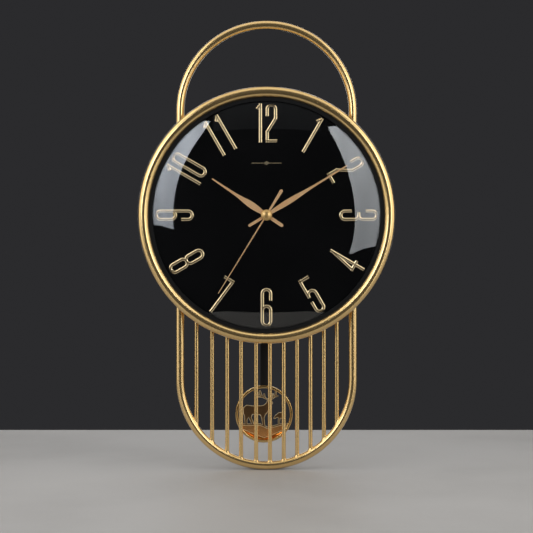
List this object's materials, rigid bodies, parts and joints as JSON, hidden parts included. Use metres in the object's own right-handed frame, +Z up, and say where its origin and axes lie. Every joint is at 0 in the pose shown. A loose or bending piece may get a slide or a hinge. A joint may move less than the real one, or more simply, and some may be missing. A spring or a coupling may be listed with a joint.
{
  "type": "pendulum clock",
  "caption": "Tall gold pendulum clock: black domed dial head on a round-bar hoop, with upright bars in front of an openwork bob.",
  "frame": {"origin": "on the table, under the middle of the clock's width and depth", "axes": "+Z up, +X to the right as the dial is read, +Y from the glass to the back"},
  "size_m": [0.31, 0.134, 0.546],
  "materials": {
    "hoop_metal": "polished warm gold plating on steel",
    "bezel_metal": "polished, anodised warm gold",
    "drum_metal": "gold lacquer on sheet steel",
    "cover_metal": "black lacquer, semi-matt",
    "foot_metal": "black lacquer, semi-matt",
    "screw_metal": "zinc plated",
    "glass": "clear, polished, domed",
    "gasket_rubber": "black, satin",
    "dial_black": "deep black lacquer, smooth",
    "numeral_metal": "satin face, bright bevelled edges",
    "hand_metal": "satin rose gold",
    "cap_metal": "polished",
    "ornament_metal": "satin",
    "movement_plastic": "black, fine grain",
    "wheel_plastic": "white acetal",
    "knob_plastic": "white",
    "rotor_metal": "sintered magnet",
    "coil_copper": "enamelled copper wire",
    "nut_brass": "machined",
    "washer_rubber": "black",
    "cell_wrap": "plain dark wrap, no print",
    "contact_metal": "nickel plated spring steel",
    "rod_metal": "black lacquer, smooth",
    "arm_plastic": "black",
    "bob_metal": "polished gold",
    "figure_metal": "polished gold, cut sheet",
    "base_copper": "polished copper colour"
  },
  "bodies": {
    "clock": {"upper_hoop": "hoop_metal", "lower_hoop": "hoop_metal", "grille_bar_01": "hoop_metal", "grille_bar_02": "hoop_metal", "grille_bar_03": "hoop_metal", "grille_bar_04": "hoop_metal", "grille_bar_05": "hoop_metal", "grille_bar_06": "hoop_metal", "grille_bar_07": "hoop_metal", "grille_bar_08": "hoop_metal", "grille_bar_09": "hoop_metal", "grille_bar_10": "hoop_metal", "grille_bar_11": "hoop_metal", "case_band": "drum_metal", "rear_cover": "cover_metal", "rear_screws": "screw_metal", "socket_screws": "screw_metal", "rear_foot": "foot_metal", "bezel_ring": "bezel_metal", "glass_gasket": "gasket_rubber", "glass_dome": "glass", "dial_plate": "dial_black", "dial_ornament": "ornament_metal", "numeral_01": "numeral_metal", "numeral_02": "numeral_metal", "numeral_03": "numeral_metal", "numeral_04": "numeral_metal", "numeral_05": "numeral_metal", "numeral_06": "numeral_metal", "numeral_07": "numeral_metal", "numeral_08": "numeral_metal", "numeral_09": "numeral_metal", "numeral_10": "numeral_metal", "numeral_11": "numeral_metal", "numeral_12": "numeral_metal", "movement_front_case": "movement_plastic", "movement_rear_case": "movement_plastic", "drive_coils": "coil_copper", "rubber_washer": "washer_rubber", "mounting_washer": "nut_brass", "mounting_nut": "nut_brass", "battery_cell": "cell_wrap", "battery_contacts": "contact_metal"},
    "seconds": {"second_hand": "hand_metal", "hub_cap": "cap_metal", "second_wheel": "wheel_plastic"},
    "minutes": {"minute_hand": "hand_metal", "centre_wheel": "wheel_plastic"},
    "hours": {"hour_hand": "hand_metal", "hour_wheel": "wheel_plastic"},
    "third": {"third_wheel": "wheel_plastic"},
    "transmission": {"transmission_wheel": "wheel_plastic"},
    "motor_rotor": {"rotor": "rotor_metal"},
    "motion": {"minute_wheel": "wheel_plastic"},
    "setting": {"set_knob": "knob_plastic"},
    "pendulum": {"swing_arm": "arm_plastic", "pendulum_rod": "rod_metal", "bob_ring": "bob_metal", "bob_figures": "figure_metal", "bob_base": "base_copper"}
  },
  "joints": [
    {"name": "second_hand_turn", "type": "hinge", "parent": "clock", "child": "seconds", "pos_m": [0, -0.03, 0.309], "axis": [0, 1, 0], "continuous": true},
    {"name": "minute_hand_turn", "type": "hinge", "parent": "clock", "child": "minutes", "pos_m": [0, -0.03, 0.309], "axis": [0, 1, 0], "continuous": true},
    {"name": "hour_hand_turn", "type": "hinge", "parent": "clock", "child": "hours", "pos_m": [0, -0.03, 0.309], "axis": [0, 1, 0], "continuous": true},
    {"name": "third_wheel_turn", "type": "hinge", "parent": "clock", "child": "third", "pos_m": [-0.01126, -0.03, 0.3155], "axis": [0, 1, 0], "continuous": true},
    {"name": "transmission_turn", "type": "hinge", "parent": "clock", "child": "transmission", "pos_m": [0.00901, -0.03, 0.3142], "axis": [0, 1, 0], "continuous": true},
    {"name": "rotor_turn", "type": "hinge", "parent": "clock", "child": "motor_rotor", "pos_m": [0.01881, -0.03, 0.3142], "axis": [0, 1, 0], "continuous": true},
    {"name": "minute_wheel_turn", "type": "hinge", "parent": "clock", "child": "motion", "pos_m": [0, -0.03, 0.3005], "axis": [0, 1, 0], "continuous": true},
    {"name": "set_knob_turn", "type": "hinge", "parent": "clock", "child": "setting", "pos_m": [0, -0.03, 0.292], "axis": [0, 1, 0], "continuous": true},
    {"name": "pendulum_swing", "type": "hinge", "parent": "clock", "child": "pendulum", "pos_m": [-0.003, -0.0288, 0.269], "axis": [0, 1, 0], "range_deg": [-8, 8]}
  ],
  "couplings": [
    {"joint": "transmission_turn", "follows": "second_hand_turn", "ratio": -5},
    {"joint": "rotor_turn", "follows": "second_hand_turn", "ratio": 30},
    {"joint": "third_wheel_turn", "follows": "second_hand_turn", "ratio": -0.125},
    {"joint": "minute_hand_turn", "follows": "second_hand_turn", "ratio": 0.016667},
    {"joint": "minute_wheel_turn", "follows": "second_hand_turn", "ratio": -0.0055556},
    {"joint": "hour_hand_turn", "follows": "second_hand_turn", "ratio": 0.0013889},
    {"joint": "set_knob_turn", "follows": "second_hand_turn", "ratio": 0.016667}
  ]
}
